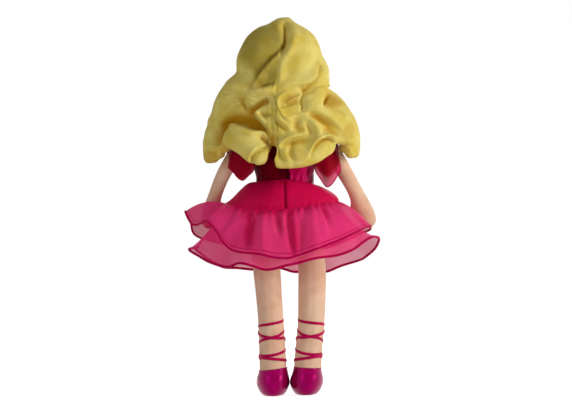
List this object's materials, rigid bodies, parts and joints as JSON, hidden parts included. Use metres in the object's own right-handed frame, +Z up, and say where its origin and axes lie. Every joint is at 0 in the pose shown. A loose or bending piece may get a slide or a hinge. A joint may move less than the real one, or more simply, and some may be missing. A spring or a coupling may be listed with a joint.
{
  "type": "soft cloth doll",
  "caption": "Soft stuffed doll with long gathered hair, a satin bodice, a sheer ruffled dancing skirt and laced satin slippers; head, arms, hips and legs move.",
  "frame": {"origin": "midway between the two soles, at the height of the soles, under the middle of the bounding box", "axes": "+Z up, +X towards the doll's left, the face looks along -Y and the back along +Y"},
  "size_m": [0.1983, 0.1186, 0.38],
  "materials": {
    "skin": "short pile velour",
    "filling": "loose polyester fibre",
    "pellet_bag": "plain cotton bag of pellets",
    "hair": "golden velour",
    "satin": "magenta satin",
    "organza": "sheer pink organza",
    "thread": "overlocked thread",
    "ribbon": "narrow satin ribbon",
    "tape": "hook-and-loop tape",
    "eye_thread": "satin stitch"
  },
  "bodies": {
    "torso": {"torso_skin": "skin", "torso_filling": "filling", "bodice_front": "satin", "bodice_back_left": "satin", "bodice_back_right": "satin", "back_closure_tape": "tape", "waist_piping": "thread", "skirt_yoke": "satin", "upper_ruffle": "organza", "lower_ruffle": "organza", "upper_hem_thread": "thread", "lower_hem_thread": "thread", "sleeve_left": "organza", "sleeve_right": "organza"},
    "head": {"neck": "skin", "head_skin": "skin", "head_filling": "filling", "eye_left": "eye_thread", "eye_right": "eye_thread", "mouth": "thread", "hair_crown_left": "hair", "hair_crown_right": "hair", "hair_fall_left": "hair", "hair_fall_right": "hair", "hair_curl_outer_left": "hair", "hair_curl_outer_right": "hair", "hair_curl_inner_left": "hair", "hair_curl_inner_right": "hair"},
    "seat": {"seat_skin": "skin", "seat_pellet_bag": "pellet_bag"},
    "arm_left": {"arm_skin_left": "skin", "arm_filling_left": "filling", "arm_seam_left": "skin"},
    "leg_left": {"leg_skin_left": "skin", "leg_filling_left": "filling", "slipper_left": "satin", "ankle_ribbon_inner_left": "ribbon", "ankle_ribbon_outer_left": "ribbon"},
    "arm_right": {"arm_skin_right": "skin", "arm_filling_right": "filling", "arm_seam_right": "skin"},
    "leg_right": {"leg_skin_right": "skin", "leg_filling_right": "filling", "slipper_right": "satin", "ankle_ribbon_inner_right": "ribbon", "ankle_ribbon_outer_right": "ribbon"}
  },
  "joints": [
    {"name": "head_turn", "type": "hinge", "parent": "torso", "child": "head", "pos_m": [0, 0, 0.27], "axis": [0, 0, 1], "range_deg": [-40, 40], "deforming": ["hair_fall_left", "hair_fall_right", "hair_curl_outer_left", "hair_curl_outer_right", "hair_curl_inner_left", "hair_curl_inner_right"]},
    {"name": "shoulder_left", "type": "hinge", "parent": "torso", "child": "arm_left", "pos_m": [0.038, 0, 0.262], "axis": [-1, 0, 0], "range_deg": [-15, 150], "deforming": ["sleeve_left"]},
    {"name": "shoulder_right", "type": "hinge", "parent": "torso", "child": "arm_right", "pos_m": [-0.038, 0, 0.262], "axis": [-1, 0, 0], "range_deg": [-15, 150], "deforming": ["sleeve_right"]},
    {"name": "sit_fold", "type": "hinge", "parent": "torso", "child": "seat", "pos_m": [0, 0, 0.179], "axis": [-1, 0, 0], "range_deg": [0, 75], "deforming": ["skirt_yoke", "upper_ruffle", "lower_ruffle", "upper_hem_thread", "lower_hem_thread"]},
    {"name": "leg_swing_left", "type": "hinge", "parent": "seat", "child": "leg_left", "pos_m": [0.0235, 0, 0.155], "axis": [-1, 0, 0], "range_deg": [-25, 25]},
    {"name": "leg_swing_right", "type": "hinge", "parent": "seat", "child": "leg_right", "pos_m": [-0.0235, 0, 0.155], "axis": [-1, 0, 0], "range_deg": [-25, 25]}
  ]
}
